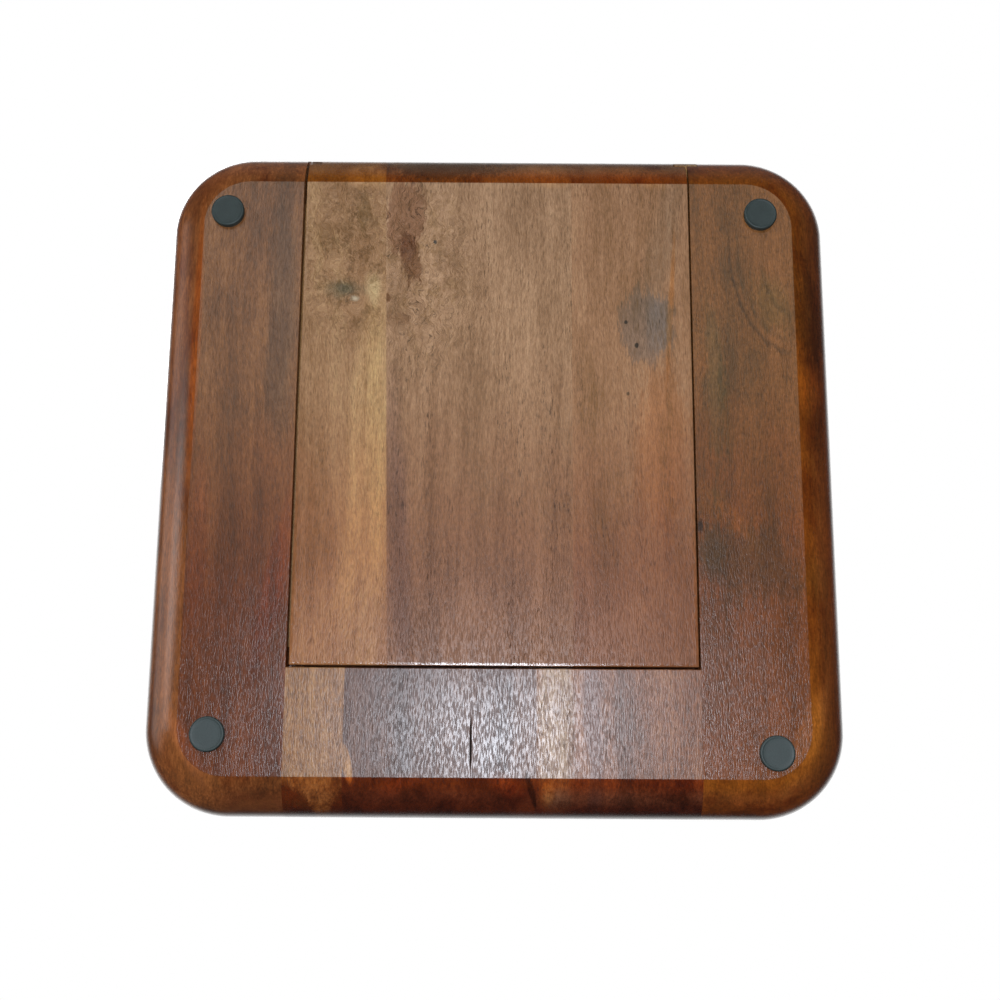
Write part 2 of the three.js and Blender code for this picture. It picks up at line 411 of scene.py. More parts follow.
def notch_bm():
    """A horizontal cylinder through the front wall, for a finger."""
    bm = bmesh.new()
    z = DRAWER_TOP - NOTCH_DEPTH + NOTCH_RADIUS
    ends = (-FAR, -HALF + DRAWER_FRONT_WALL + OVERCUT)
    turns = [math.tau * i / NOTCH_SEGMENTS for i in range(NOTCH_SEGMENTS)]
    rings = []
    for y in ends:
        ring = [(NOTCH_RADIUS * math.cos(t), y, z - NOTCH_RADIUS * math.sin(t)) for t in turns]
        rings.append([bm.verts.new(p) for p in ring])
    bridge(bm, *rings)
    bm.faces.new(list(reversed(rings[0])))
    bm.faces.new(rings[1])
    bmesh.ops.recalc_face_normals(bm, faces=bm.faces)
    return bm


def seam_x(y):
    """X of the drawer's left glue seam, which isn't quite parallel to its sides."""
    front, back = DRAWER_LEFT_SEAM
    return front + (back - front) * (y + HALF) / (DRAWER_BACK + HALF)


def stave_outline(side):
    """The plan of one drawer stave, wider than the drawer where it has no seam."""
    ends = (-FAR, FAR)
    slanted = [(seam_x(y), y) for y in ends]
    straight = [(DRAWER_RIGHT_SEAM, y) for y in ends]
    outer_left = [(-FAR, y) for y in ends]
    outer_right = [(FAR, y) for y in ends]
    bounds = {
        "left": (outer_left, slanted),
        "middle": (slanted, straight),
        "right": (straight, outer_right),
    }
    low, high = bounds[side]
    return [low[0], high[0], high[1], low[1]]


def on_seam(point):
    return near(point.x, seam_x(point.y)) or near(point.x, DRAWER_RIGHT_SEAM)


def make_drawer_stave(side):
    """One stave of the drawer: the whole drawer's shape, cut down to the stave's plan."""
    node = "drawer_stave_" + side
    x_range = (DRAWER_LEFT, DRAWER_RIGHT)
    stave = slice_of_blank(node + "_wood", x_range, (-FAR, DRAWER_BACK), (BELOW, DRAWER_TOP))
    full = (-FAR, FAR)
    cut(stave, box_bm((-FAR, DRAWER_LEFT + GROOVE_DEPTH), full, GROOVE_Z))
    cut(stave, box_bm((DRAWER_RIGHT - GROOVE_DEPTH, FAR), full, GROOVE_Z))
    cut(stave, pocket_bm())
    cut(stave, notch_bm())
    plan = prism(stave_outline(side), (UNDERSIDE - OVERCUT, TOP + OVERCUT))
    combine(stave, new_object("cutter", plan), "INTERSECT")
    floor = UNDERSIDE + DRAWER_FLOOR

    def cove(a, b):
        """The pocket's edge along its floor."""
        return near(a.z, floor) and near(b.z, floor) and not (on_seam(a) and on_seam(b))

    def outer(a, b):
        """Every sharp edge but those of the cove, the grooves and the seams."""
        low = floor - 0.5 < a.z < floor + POCKET_COVE + 0.5
        inside = abs(a.y) < DRAWER_BACK - 1 and abs(a.x) < DRAWER_RIGHT - GROOVE_DEPTH - 1
        in_cove = low and inside
        in_groove = GROOVE_Z[0] - 0.1 < a.z < GROOVE_Z[1] + 0.1
        return not in_cove and not in_groove and not (on_seam(a) and on_seam(b))

    def change(bm):
        ease(bm, cove, POCKET_COVE, 4)
        ease(bm, outer, EASED)

    edit(stave, change)
    return shade(stave)


# ------------------------------------------------------------------ feet

# Rim of a stick-on foot, from its middle outwards: radius and height above the table.
FOOT_RIM = [
    (0, 0.16), (4.5, 0.16), (6.0, 0.15), (6.35, 0.11), (6.55, 0.03), (6.75, 0.0), (6.95, 0.02),
    (7.15, 0.1), (7.33, 0.25), (7.45, 0.48), (7.5, 0.8), (7.5, 1.6), (7.47, 2.6), (7.4, 3.0),
]


def make_foot(node):
    """A foot turned on its rim's profile."""
    low, high = cad_box(node)
    cx, cy = (low[0] + high[0]) / 2, (low[1] + high[1]) / 2
    bm = bmesh.new()
    centre = bm.verts.new((cx, cy, FOOT_RIM[0][1]))
    turns = [math.tau * i / FOOT_SEGMENTS for i in range(FOOT_SEGMENTS)]
    rings = []
    for radius, z in FOOT_RIM[1:]:
        ring = [(cx + radius * math.cos(t), cy + radius * math.sin(t), z) for t in turns]
        rings.append([bm.verts.new(p) for p in ring])
    for i in range(FOOT_SEGMENTS):
        j = (i + 1) % FOOT_SEGMENTS
        bm.faces.new((centre, rings[0][j], rings[0][i]))
    for lower, upper in zip(rings, rings[1:]):
        bridge(bm, lower, upper)
    bm.faces.new(rings[-1])
    bmesh.ops.recalc_face_normals(bm, faces=bm.faces)
    foot = new_object(node + "_rubber", bm)
    return shade(foot, crease=False)


# ------------------------------------------------------------------ node graphs


def linear(hex_colour):
    """Scene-linear red, green and blue of an sRGB colour such as #7f5729."""
    values = [int(hex_colour[i : i + 2], 16) / 255 for i in (1, 3, 5)]
    return tuple(v / 12.92 if v <= 0.04045 else ((v + 0.055) / 1.055) ** 2.4 for v in values)


class Wire:
    """A number in a node graph. Arithmetic on it adds math nodes."""

    def __init__(self, graph, socket):
        self.graph = graph
        self.socket = socket

    def __add__(self, other):
        return self.graph.math("ADD", self, other)

    def __radd__(self, other):
        return self.graph.math("ADD", other, self)

    def __sub__(self, other):
        return self.graph.math("SUBTRACT", self, other)

    def __rsub__(self, other):
        return self.graph.math("SUBTRACT", other, self)

    def __mul__(self, other):
        return self.graph.math("MULTIPLY", self, other)

    def __rmul__(self, other):
        return self.graph.math("MULTIPLY", other, self)


class Graph:
    """Short ways to add nodes to one material or world."""

    def __init__(self, tree):
        self.tree = tree
        tree.nodes.clear()

    def add(self, kind, **settings):
        node = self.tree.nodes.new(kind)
        for key, value in settings.items():
            setattr(node, key, value)
        return node

    def feed(self, socket, value):
        if isinstance(value, Wire):
            self.tree.links.new(value.socket, socket)
        elif isinstance(value, tuple) and socket.type == "RGBA":
            socket.default_value = (*value, 1)
        else:
            socket.default_value = value

    def math(self, operation, a, b=0.0, c=0.0, clamp=False):
        node = self.add("ShaderNodeMath", operation=operation, use_clamp=clamp)
        for socket, value in zip(node.inputs, (a, b, c)):
            self.feed(socket, value)
        return Wire(self, node.outputs[0])

    def vector(self, x, y, z):
        node = self.add("ShaderNodeCombineXYZ")
        for socket, value in zip(node.inputs, (x, y, z)):
            self.feed(socket, value)
        return Wire(self, node.outputs[0])

    def split(self, vector):
        node = self.add("ShaderNodeSeparateXYZ")
        self.feed(node.inputs[0], vector)
        return [Wire(self, socket) for socket in node.outputs]

    def noise(self, vector, detail=2.0, roughness=0.5):
        """Smooth noise from 0 to 1, one unit of the vector to a bump."""
        node = self.add("ShaderNodeTexNoise")
        self.feed(node.inputs["Vector"], vector)
        node.inputs["Scale"].default_value = 1
        node.inputs["Detail"].default_value = detail
        node.inputs["Roughness"].default_value = roughness
        return Wire(self, node.outputs["Fac"])

    def step(self, value, start, end):
        """0 before start, 1 after end, smooth between. start may be the larger."""
        node = self.add("ShaderNodeMapRange", interpolation_type="SMOOTHSTEP")
        self.feed(node.inputs["Value"], value)
        low, high = min(start, end), max(start, end)
        node.inputs["From Min"].default_value = low
        node.inputs["From Max"].default_value = high
        node.inputs["To Min"].default_value = 0 if start < end else 1
        node.inputs["To Max"].default_value = 1 if start < end else 0
        return Wire(self, node.outputs["Result"])

    def mix(self, factor, a, b, blend="MIX"):
        node = self.add("ShaderNodeMix", data_type="RGBA", blend_type=blend)
        sockets = [s for s in node.inputs if s.enabled]
        for socket, value in zip(sockets, (factor, a, b)):
            self.feed(socket, value)
        output = [s for s in node.outputs if s.enabled][0]
        return Wire(self, output)

    def ramp(self, factor, colours):
        """Even blend through a list of colours."""
        node = self.add("ShaderNodeValToRGB")
        self.feed(node.inputs[0], factor)
        elements = node.color_ramp.elements
        while len(elements) < len(colours):
            elements.new(0.5)
        for i, colour in enumerate(colours):
            elements[i].position = i / (len(colours) - 1)
            elements[i].color = (*colour, 1)
        return Wire(self, node.outputs[0])

    def bump(self, height, depth_mm):
        """A normal for a height from 0 to 1 that stands for depth_mm."""
        node = self.add("ShaderNodeBump")
        self.feed(node.inputs["Height"], height)
        node.inputs["Strength"].default_value = 1
        node.inputs["Distance"].default_value = depth_mm * MM
        return Wire(self, node.outputs[0])


def new_material(name):
    material = bpy.data.materials.new(name)
    material.use_nodes = True
    return material, Graph(material.node_tree)


def finish_material(graph, colour, roughness, normal, **fixed):
    """Adds the shader. fixed are numbers set on its own sockets."""
    shader = graph.add("ShaderNodeBsdfPrincipled")
    graph.feed(shader.inputs["Base Color"], colour)
    graph.feed(shader.inputs["Roughness"], roughness)
    graph.feed(shader.inputs["Normal"], normal)
    for key, value in fixed.items():
        shader.inputs[key.replace("_", " ")].default_value = value
    output = graph.add("ShaderNodeOutputMaterial")
    graph.tree.links.new(shader.outputs[0], output.inputs[0])


# ------------------------------------------------------------------ wood

# Ratios that a colour is multiplied by: nowhere, in the smoky patches of the round-over, and
# on the lower half of the outer wall, which is darker and greyer as a painted grazing reflection.
SAME = (1, 1, 1)
SMOKE = (0.55, 0.42, 0.35)
PAINTED_LOW_RIM = (0.55, 0.65, 0.9)
# A mark with a smaller half size than this, in mm, keeps its place and its full strength.
SMALL_MARK = 4
# How far the grain wanders in X, in mm: from end to end, from fibre to fibre, and in a burl.
DRIFT = 14
WAVER = 2.0
SWIRL = 22
# How far apart in X, in mm, pieces lie in the noise for each 1 between their seeds.
SEED_STEP = 37
# Depths into the rounded blank between which its skin ends.
SKIN = (2.6, 1.6)
# The lower half of the outer wall, in distances in from the wall and in heights.
LOW_WALL_INSET = (3.4, 1.2)
LOW_WALL_Z = (24, 18)
# Where the drawer's lacquer is rolled over, and where it is rubbed, in mm in from its rim.
ROLLED = 1.3
RUBBED = (1.6, 1.1)


def mark(x, y, wide, long, colour, strength=1.0, turn=0.0, soft=0.5, ragged=0.4, ring=0.0,
         dull=0.0):
    """A coloured place in the wood: an ellipse in plan with frayed edges.

    wide and long are its half sizes across and along the board, turn its angle in degrees,
    soft the share of it that fades out, and ragged how far the grain frays its edge. With a
    ring, only a line along the ellipse's back left quarter is coloured, and ring is the
    distance at which it has faded. dull is how much rougher the lacquer is there.
    """
    return {
        "x": x, "y": y, "wide": wide, "long": long, "colour": linear(colour),
        "strength": strength, "turn": math.radians(turn), "soft": soft, "ragged": ragged,
        "ring": ring, "dull": dull,
    }


def ellipse(graph, x, y, fray, m):
    """How strongly a mark colours a point, from 0 to 1."""
    dx, dy = x - m["x"], y - m["y"]
    cos, sin = math.cos(m["turn"]), math.sin(m["turn"])
    across = (dx * cos + dy * sin) * (1 / m["wide"])
    along = (dy * cos - dx * sin) * (1 / m["long"])
    reach = graph.math("SQRT", across * across + along * along) + fray * m["ragged"]
    if m["ring"]:
        off_line = graph.math("ABSOLUTE", reach - 1) * m["wide"]
        quarter = graph.step(dx, 3, -6) * graph.step(dy, -8, 6)
        return graph.step(off_line, m["ring"], 0) * quarter * m["strength"]
    return graph.step(reach, 1 + m["soft"] / 2, 1 - m["soft"] / 2) * m["strength"]


def tint(graph, colour, factor, ratio):
    """Multiplies a colour by a ratio per channel, as far as the factor says."""
    change = graph.add("ShaderNodeVectorMath", operation="SCALE")
    change.inputs[0].default_value = [r - 1 for r in ratio]
    graph.feed(change.inputs["Scale"], factor)
    share = graph.add("ShaderNodeVectorMath", operation="ADD")
    graph.tree.links.new(change.outputs[0], share.inputs[0])
    share.inputs[1].default_value = (1, 1, 1)
    product = graph.add("ShaderNodeVectorMath", operation="MULTIPLY")
    graph.feed(product.inputs[0], colour)
    graph.tree.links.new(share.outputs[0], product.inputs[1])
    return Wire(graph, product.outputs[0])


def inset_from_wall(graph, x, y):
    """Distance in from the board's outer wall, in plan."""
    flat = HALF - CORNER_RADIUS
    ax = graph.math("MAXIMUM", graph.math("ABSOLUTE", x) - flat, 0.0)
    ay = graph.math("MAXIMUM", graph.math("ABSOLUTE", y) - flat, 0.0)
    return CORNER_RADIUS - graph.math("SQRT", ax * ax + ay * ay)


def depth_in_blank(graph, inset, z):
    """How far a point lies inside the rounded blank, to about a millimetre."""
    drop = graph.math("MINIMUM", z - UNDERSIDE, TOP - z)
    across = graph.math("MAXIMUM", ROUND_OVER - inset, 0.0)
    down = graph.math("MAXIMUM", ROUND_OVER - drop, 0.0)
    return ROUND_OVER - graph.math("SQRT", across * across + down * down)


def object_place(graph):
    """The point on the object in millimetres, as three numbers."""
    place = graph.add("ShaderNodeTexCoord")
    scaled = graph.add("ShaderNodeVectorMath", operation="SCALE")
    graph.tree.links.new(place.outputs["Object"], scaled.inputs[0])
    scaled.inputs["Scale"].default_value = 1 / MM
    return graph.split(Wire(graph, scaled.outputs[0]))


class Grain:
    """The noises from 0 to 1 that a piece of wood is mixed from, with its grain along Y.

    The grain wanders a little in X, and swirls inside the burl. waver runs from -0.5 to 0.5.
    """

    def __init__(self, g, place, seed, burl):
        x, y, z = place
        drift = g.noise(g.vector(x * 0.011 + seed, y * 0.005, z * 0.02), 1.0) - 0.5
        self.waver = g.noise(g.vector(x * 0.06, y * 0.02 + seed, z * 0.06), 2.0) - 0.5
        gx = x + drift * DRIFT + self.waver * WAVER + seed * SEED_STEP
        if burl:
            swirl = g.noise(g.vector(x * 0.11 + seed, y * 0.09, z * 0.1), 3.0, 0.6) - 0.5
            self.in_burl = ellipse(g, x, y, 0.0, burl)
            gx = gx + self.in_burl * swirl * SWIRL

        def streaked(width, length, detail, rough, offset):
            across = gx * (1 / width) + offset
            along = y * (1 / length) + offset
            return g.noise(g.vector(across, along, z * (1 / width)), detail, rough)

        self.broad = streaked(17, 170, 2.0, 0.5, 0.0)
        self.band = streaked(3.4, 60, 3.0, 0.65, 5.3)
        self.fine = streaked(0.9, 5, 3.0, 0.65, 9.1)
        self.fibre = streaked(0.5, 2.2, 3.0, 0.65, 2.7)
        self.cloud = g.noise(g.vector(x * 0.055, y * 0.035, z * 0.05 + seed), 4.0, 0.6)
        self.pebble = g.noise(g.vector(x * 0.75 + seed, y * 0.6, z * 0.75), 3.0, 0.6)
        open_place = g.step(g.noise(g.vector(gx * 0.12, y * 0.02, z * 0.1), 3.0, 0.6), 0.42, 0.64)
        pores = g.step(streaked(0.55, 3.6, 3.0, 0.6, 7.7), 0.53, 0.7)
        self.pore = pores * (open_place * 0.8 + 0.2)
        self.pit = g.step(streaked(0.48, 3.0, 2.0, 0.5, 4.3), 0.44, 0.66)


def add_marks(g, colour, place, grain, marks, middle):
    """The colour with the marks in it, and how much they add to the roughness.

    The edge of a large mark wanders with the grain. A small one stays where it is.
    """
    x, y, _ = place
    fray = (grain.band - 0.5) * 1.6 + (grain.cloud - 0.5) * 1.6 + (grain.fine - 0.5) * 1.6
    wandering_x = x + grain.waver * 7
    wandering_y = y + (grain.cloud - 0.5) * 12
    grain_in_mark = 0.7 + (grain.fine - 0.5) * 1.2 + (grain.band - 0.5) * 1.2 + 0.3
    dull = 0.0
    for m in marks:
        if m["ring"] or min(m["wide"], m["long"]) < SMALL_MARK:
            reach = ellipse(g, x, y, fray, m)
        else:
            reach = ellipse(g, wandering_x, wandering_y, fray, m)
            reach = g.math("MULTIPLY", reach, grain_in_mark, clamp=True)
        colour = tint(g, colour, reach, [c / base for c, base in zip(m["colour"], middle)])
        if m["dull"]:
            dull = reach * m["dull"] + dull
    return colour, dull


def add_burl(g, colour, place, grain, seed, burl, middle):
    """The colour with curly blotches inside the burl."""
    x, y, z = place
    blotch = g.noise(g.vector(x * 0.14, y * 0.1, z * 0.16 + seed), 5.0, 0.7)
    curl = g.noise(g.vector(x * 0.7, y * 0.45, z * 0.3 + seed), 4.0, 0.75)
    stain = g.step(blotch + (curl - 0.5) * 0.7, 0.44, 0.66) * grain.in_burl
    return tint(g, colour, stain, [c / base for c, base in zip(burl["colour"], middle)])


def shade_grain(g, colour, grain, speckle, pores):
    """The colour, darker in pits and pores and lighter on fibres."""
    fibres = 1.045 + (grain.fibre - 0.5) * 0.55
    shade_of_grain = fibres + (grain.pebble - 0.5) * speckle - grain.pit * 0.2
    shade_of_grain = shade_of_grain * (1 - grain.pore * (0.7 * pores))
    grey = g.add("ShaderNodeCombineColor")
    for socket in grey.inputs:
        g.feed(socket, shade_of_grain)
    return g.mix(1.0, colour, Wire(g, grey.outputs[0]), "MULTIPLY")


def stain_and_shade_round_over(g, colour, place, seed, inset, on_edge, edge):
    """The colour with the round-over's deeper stain and its painted light and shade by side,
    smoky in places, and greyer low where a grazing reflection is painted.
    """
    x, y, z = place
    beside_crease, at_wall = edge
    outward = g.step(inset, ROUND_OVER - 2, 3)
    smoke = g.noise(g.vector(x * 0.05 + seed, y * 0.018, z * 0.12), 5.0, 0.65)
    # Deeper stain, with painted light on the left round-over and painted shade on the others.
    colour = tint(g, colour, on_edge * (1 - outward), beside_crease)
    colour = tint(g, colour, on_edge * outward, at_wall)
    colour = tint(g, colour, on_edge * g.step(smoke, 0.42, 0.66), SMOKE)
    # Painted grazing reflection: the lower outer wall darker and greyer.
    painted_low_rim = on_edge * g.step(inset, *LOW_WALL_INSET) * g.step(z, *LOW_WALL_Z)
    return tint(g, colour, painted_low_rim, PAINTED_LOW_RIM)


def wear_rim(g, place, rough, pits, height):
    """The drawer's lacquer, rolled over and rubbed bright at its rim."""
    x, y, _ = place
    sides = g.math("MINIMUM", x - DRAWER_LEFT, DRAWER_RIGHT - x)
    from_rim = g.math("MINIMUM", sides, DRAWER_BACK - y)
    roll = g.math("SUBTRACT", ROLLED, from_rim, clamp=True)
    rub = g.step(from_rim, *RUBBED)
    return rough - rub * 0.14, pits * (1 - rub), height * (1 - 0.96 * roll) - roll * 0.65


def wood(name, seed, tones, marks=(), edge=(SAME, SAME), streaks=0.5, pores=0.5, speckle=0.3,
         roughness=0.25, gloss_level=0.3, relief=0.06, rubbed=0.0, burl=None,
         fade=(SAME, 0, 1), worn=False):
    """Lacquered wood with its grain along Y.

    tones run from the dark to the light parts. edge is what multiplies the colour on the
    round-over, beside the crease and at the outer wall, where the stain is deeper and light and
    shade are painted by side. streaks, pores and speckle are strengths from 0 to 1, relief the
    depth of the open grain in mm, rubbed how much rougher its pits are, and burl a mark inside
    which the grain is blotched.
    fade is a ratio that the colour takes on from one Y to another. A worn piece is one of the
    drawer's, whose lacquer is rolled over and rubbed bright at its rim.
    """
    material, g = new_material(name)
    place = object_place(g)
    x, y, z = place
    grain = Grain(g, place, seed, burl)
    inset = inset_from_wall(g, x, y)
    on_edge = g.step(inset, ROUND_OVER + 0.2, ROUND_OVER - 0.3)
    on_edge = on_edge * g.step(depth_in_blank(g, inset, z), *SKIN)

    tone = (grain.broad - 0.5) * 1.6 + (grain.cloud - 0.5) * 0.9 + 0.5
    tone = tone + (grain.band - 0.5) * (2.2 * streaks) + (grain.fine - 0.5) * (3.0 * streaks)
    colour = g.ramp(tone, [linear(t) for t in tones])
    middle = linear(tones[len(tones) // 2])
    colour, dull = add_marks(g, colour, place, grain, marks, middle)
    ratio, fade_start, fade_end = fade
    faded = g.step(y + (grain.cloud - 0.5) * 60, fade_start, fade_end)
    colour = tint(g, colour, faded * (1 - on_edge), ratio)
    if burl:
        colour = add_burl(g, colour, place, grain, seed, burl, middle)
    colour = shade_grain(g, colour, grain, speckle, pores)
    colour = stain_and_shade_round_over(g, colour, place, seed, inset, on_edge, edge)

    rough = roughness + (grain.fibre - 0.5) * 0.12 + (grain.cloud - 0.5) * 0.08
    rough = rough + grain.pore * 0.15 + dull - on_edge * 0.08
    pits = grain.pit * rubbed
    height = grain.fibre * 0.45 + grain.fine * 0.35 + grain.pebble * (0.5 * speckle)
    height = height - grain.pit * 0.6 - grain.pore * (0.8 * pores)
    if worn:
        rough, pits, height = wear_rim(g, place, rough, pits, height)
    normal = g.bump(height * (1 - 0.6 * on_edge), relief)
    finish_material(g, colour, rough + pits, normal, Specular_IOR_Level=gloss_level)
    return material


# ------------------------------------------------------------------ woods of this board

# Deeper stain on the round-over beside the crease and at the outer wall, against the sanded
# flats, with painted light and shade by side: painted light on the left, painted shade at the
# front and on the right.
LEFT_EDGE_STAIN_AND_LIGHT = ((1.2, 0.95, 0.75), (1.5, 1.2, 1.0))
RIGHT_EDGE_STAIN_AND_SHADE = ((1.05, 0.7, 0.22), (0.8, 0.42, 0.14))
FRONT_EDGE_STAIN_AND_SHADE = ((0.58, 0.25, 0.06), (0.45, 0.36, 0.25))

# Finish of the back staves, in whose lacquer the lamp is mirrored.
GLOSSY = {"relief": 0.04, "rubbed": 0.15, "roughness": 0.26, "gloss_level": 0.34}

# The drawer's lacquer is duller than the body's.
DULL = {"roughness": 0.27, "gloss_level": 0.2, "worn": True, "rubbed": 0.2}


def left_rail_wood():
    marks = [
        mark(-98, -75, 6, 65, "#57402c", 0.5, soft=1.0),
        mark(-97, 52, 5, 36, "#7d4520", 0.8, turn=10, soft=0.9),
        mark(-136.5, -54, 2.2, 58, "#9a5420", 0.7, soft=0.9, ragged=0.3),
        mark(-131, 36, 4, 38, "#84502c", 0.6, soft=0.9),
        mark(-132, 122, 3.5, 16, "#96623e", 0.7, turn=-30, soft=0.9),
        mark(-100, 150, 25, 11, "#4e2c18", 0.8, soft=0.9),
        mark(-143, -143, 19, 19, "#5a3218", 0.6, soft=0.9),
    ]
    return wood("left_rail_wood", 1.3, ["#573a22", "#764c2a", "#93633a"], marks, LEFT_EDGE_STAIN_AND_LIGHT,
                streaks=0.45, pores=0.35, roughness=0.26, gloss_level=0.33, relief=0.04,
                fade=((0.63, 0.37, 0.21), -60, 75))


def right_rail_wood():
    marks = [
        mark(112, 42, 26, 15, "#5a4629", 0.6, turn=14, soft=0.9, ragged=0.9),
        mark(95, 37, 5, 11, "#5f4f34", 0.45, soft=0.8, ragged=0.9),
        mark(102, 21, 4.5, 17, "#8b5a2a", 0.8, turn=-40, soft=0.9, ragged=0.8),
        mark(102, -28, 2.5, 20, "#634820", 0.5, turn=-3, soft=1.0, ragged=0.9),
        mark(98, -32, 4, 38, "#6a5330", 0.6, turn=-2, soft=1.0, ragged=0.9),
        mark(124, -78, 8, 12, "#6a5028", 0.5, turn=-25, soft=1.0, ragged=0.9),
        mark(134, -107, 28, 53, "#4d351c", 0.6, ring=1.1, ragged=0.04, soft=0.5),
        mark(134, -107, 24, 47, "#5c4122", 0.4, ring=1.6, ragged=0.05),
        mark(136, -98, 15, 26, "#5a3f20", 0.5, ring=1.8, ragged=0.05),
        mark(90, 26.5, 1.2, 3, "#241c14", 0.8, soft=0.8, ragged=0.3),
        mark(133, 118, 4.5, 22, "#a8764a", 0.7, turn=20, soft=0.9),
        mark(144, -69, 8, 20, "#3a2110", 0.45, soft=0.7, ragged=0.7),
        mark(142, -37, 6, 10, "#a4652c", 0.4, soft=0.8),
    ]
    return wood("right_rail_wood", 4.9, ["#5f4224", "#7b5029", "#925f34"], marks, RIGHT_EDGE_STAIN_AND_SHADE,
                streaks=0.4, pores=0.4, speckle=1.0, roughness=0.26, gloss_level=0.34,
                relief=0.05, fade=((0.72, 0.49, 0.32), -70, 55))


def drawer_left_wood():
    marks = [
        mark(-57, 20, 9.5, 98, "#b38b5f", 1.0, turn=0.4, soft=0.6, ragged=0.3),
        mark(-53, -10, 4.0, 70, "#ae8858", 0.25, turn=-2.7, soft=1.0, ragged=0.3),
        mark(-62, -120, 3.5, 10, "#84643c", 0.7, soft=0.9, ragged=1.2),
        mark(-78, -107, 6, 9, "#84603a", 0.7, turn=-30, soft=1.0, ragged=1.2),
        mark(-69, -112, 4, 5, "#84603a", 0.7, soft=1.0, ragged=1.2),
        mark(-70, -82.5, 9, 4, "#75654a", 0.65, turn=8, soft=1.0, ragged=0.8),
        mark(-69.5, -83, 4.5, 2.4, "#4e4a36", 0.5, turn=14, soft=0.9, ragged=0.9),
        mark(-65, -78.5, 2.2, 1.4, "#c9bda4", 0.5, soft=0.9, ragged=0.8),
        mark(-57, -83, 4.5, 8, "#bf9f74", 0.7, soft=0.9, ragged=0.8),
        mark(-60, -140, 11, 6, "#c6996c", 0.9, soft=0.9, ragged=0.6),
        mark(-57, 78, 9, 26, "#957050", 0.8, soft=1.0),
    ]
    burl = mark(-68, -100, 26, 40, "#7b5936", 0.85, soft=0.9, ragged=0.5)
    # Deeper stain on the front round-over, darkened further by painted shade.
    edge = ((0.66, 0.36, 0.08), (0.58, 0.4, 0.16))
    return wood("drawer_left_wood", 7.2, ["#8a633e", "#a17954", "#b48d62"], marks, edge,
                streaks=0.45, pores=0.6, **DULL, burl=burl,
                fade=((0.84, 0.64, 0.54), -50, 45))


def drawer_middle_wood():
    marks = [
        mark(-43, -119, 8, 18, "#93694a", 1.0, turn=-2, soft=0.35, ragged=0.8),
        mark(-39.5, -98, 4, 12, "#7f5636", 0.9, turn=-10, soft=0.4, ragged=0.9),
        mark(-50.3, -79, 1.2, 2.2, "#7c512c", 0.9, turn=-25, soft=0.6),
        mark(-44.5, -69, 4.5, 3, "#86603f", 0.7, soft=0.9, ragged=1.2),
        mark(-28.8, -106, 0.8, 1.0, "#4c4742", 0.9, soft=0.6, ragged=0.3),
        mark(-43, 35, 4.5, 65, "#8a6a5a", 0.6, turn=-3, soft=1.2),
        mark(-27, -145, 26, 8.5, "#785f4a", 0.9, soft=0.6, ragged=0.8),
        mark(20, -141, 14, 6, "#bf8f62", 0.8, soft=0.9, ragged=0.6),
    ]
    burl = mark(-36, -92, 24, 42, "#87643f", 0.7, soft=1.0, ragged=0.6)
    return wood("drawer_middle_wood", 11.8, ["#8d6949", "#a47e5c", "#b68f6b"], marks,
                FRONT_EDGE_STAIN_AND_SHADE, streaks=0.6, pores=0.85, **DULL, burl=burl,
                fade=((0.57, 0.41, 0.33), -75, 55))


def drawer_right_wood():
    marks = [
        mark(69, -65.5, 11.5, 17, "#886b54", 1.0, turn=3, soft=0.3, ragged=0.9),
        mark(73.5, -66, 5.0, 14, "#8f745c", 0.6, turn=2, soft=0.8, ragged=0.9),
        mark(75, -104, 6, 34, "#8f6c4e", 0.8, turn=10, soft=0.9, ragged=1.0),
        mark(79, -75, 1.2, 30, "#aa6f3c", 0.8, turn=4, soft=0.9),
        mark(58.5, -67.8, 0.8, 0.9, "#33291c", 0.9, soft=0.6, ragged=0.2),
        mark(63.2, -56.8, 0.9, 1.2, "#33291c", 0.9, soft=0.6, ragged=0.2),
        mark(59, -34, 0.7, 0.9, "#3f3222", 0.8, soft=0.6, ragged=0.2),
        mark(74, -8, 11, 38, "#a86c40", 0.5, soft=0.9, ragged=0.8),
        mark(60, -141, 16, 6, "#bf8858", 0.8, soft=0.9, ragged=0.6),
    ]
    return wood("drawer_right_wood", 14.1, ["#845e3b", "#9c7250", "#af8560"], marks, FRONT_EDGE_STAIN_AND_SHADE,
                streaks=0.45, pores=0.6, **DULL, fade=((0.64, 0.45, 0.36), -50, 55))


def back_left_wood():
    marks = [
        mark(-92, 152, 14.7, 14.7, "#5c2c12", 0.9, soft=0.25, ragged=0.2),
        mark(-56, 152, 14.7, 14.7, "#5c2c12", 0.9, soft=0.25, ragged=0.2),
    ]
    # Deeper stain on the back round-over, darkened further by painted shade.
    return wood("back_left_wood", 17.7, ["#7b5230", "#8f623a", "#a0744a"], marks,
                ((0.95, 0.62, 0.35), (0.85, 0.55, 0.3)), streaks=1.0, pores=1.0, speckle=1.0,
                **GLOSSY)


def back_middle_wood():
    marks = [
        mark(-10, 121, 0.45, 11, "#1c120c", 1.0, soft=0.6, ragged=0.15, dull=0.7),
        mark(16, 141, 1.3, 9, "#2a170c", 0.8, turn=-18, soft=0.9, ragged=0.3),
        mark(6, 139, 8, 4, "#7d4a30", 0.8, turn=30, soft=0.9, ragged=0.8),
        mark(-40, 138, 9, 4, "#7d4a30", 0.7, turn=-20, soft=0.9, ragged=0.8),
        mark(-62.5, 130, 2.0, 8, "#a8774a", 0.9, turn=-12, soft=0.4, ragged=0.3),
    ]
    # Deeper stain on the back round-over, darkened further by painted shade.
    return wood("back_middle_wood", 21.4, ["#412618", "#593624", "#6f4a34"], marks,
                ((1.15, 0.5, 0.15), (0.75, 0.27, 0.08)), streaks=0.5, pores=0.5, speckle=0.6,
                **GLOSSY)


